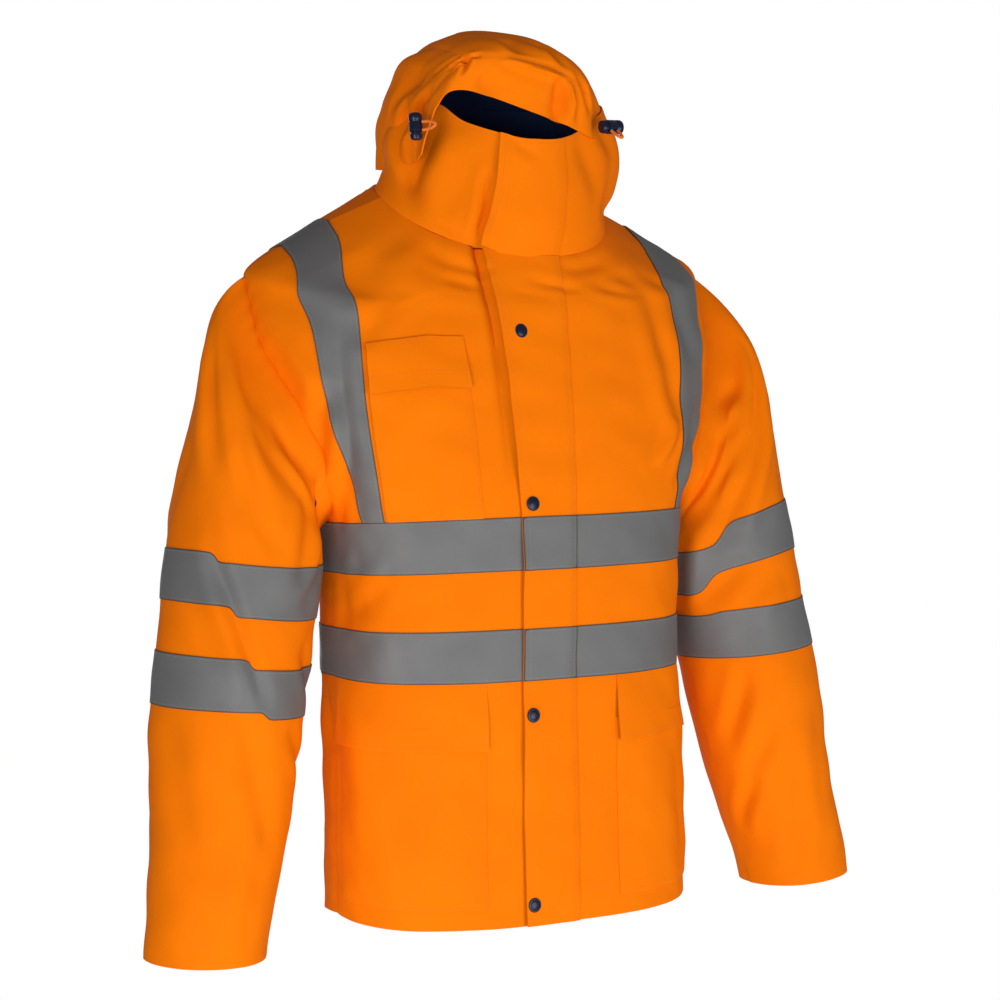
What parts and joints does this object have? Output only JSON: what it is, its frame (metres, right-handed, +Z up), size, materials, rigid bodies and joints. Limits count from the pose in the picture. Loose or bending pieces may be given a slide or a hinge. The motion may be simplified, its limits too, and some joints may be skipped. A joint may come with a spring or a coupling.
{
  "type": "hi-vis work jacket",
  "caption": "Hip-length orange high-visibility work jacket with a hood, storm flap, flap pockets and grey reflective tape, filled out as if worn, open and hollow inside.",
  "frame": {"origin": "middle of the neck seam, where the wearer's neck and shoulders hold the jacket", "axes": "+Z up the wearer's body, -Y the way the wearer faces, +X the wearer's left"},
  "size_m": [0.8096, 0.2437, 0.9031],
  "materials": {
    "orange_cloth": "matt",
    "grey_tape": "satin",
    "navy_lining": "matt",
    "navy_plastic": "satin",
    "orange_cord": "matt"
  },
  "bodies": {
    "root": {"front_right": "orange_cloth", "front_left": "orange_cloth", "back": "orange_cloth", "sleeve_right": "orange_cloth", "sleeve_left": "orange_cloth", "storm_flap": "orange_cloth", "collar": "orange_cloth", "collar_flap": "orange_cloth", "hood_side_right": "orange_cloth", "hood_side_left": "orange_cloth", "hood_crown": "orange_cloth", "hood_brim": "orange_cloth", "pocket_right": "orange_cloth", "pocket_left": "orange_cloth", "pocket_flap_right": "orange_cloth", "pocket_flap_left": "orange_cloth", "chest_pocket": "orange_cloth", "chest_pocket_flap": "orange_cloth", "tape_low_front_right": "grey_tape", "tape_low_front_left": "grey_tape", "tape_low_back": "grey_tape", "tape_low_flap": "grey_tape", "tape_low_sleeve_right": "grey_tape", "tape_low_sleeve_left": "grey_tape", "tape_high_front_right": "grey_tape", "tape_high_front_left": "grey_tape", "tape_high_back": "grey_tape", "tape_high_flap": "grey_tape", "tape_high_sleeve_right": "grey_tape", "tape_high_sleeve_left": "grey_tape", "brace_right": "grey_tape", "brace_left": "grey_tape", "collar_lining": "navy_lining", "snap_1": "navy_plastic", "snap_2": "navy_plastic", "snap_3": "navy_plastic", "snap_4": "navy_plastic", "cord_lock_right": "navy_plastic", "cord_lock_left": "navy_plastic", "cord_loop_right": "orange_cord", "cord_loop_left": "orange_cord"}
  },
  "joints": []
}
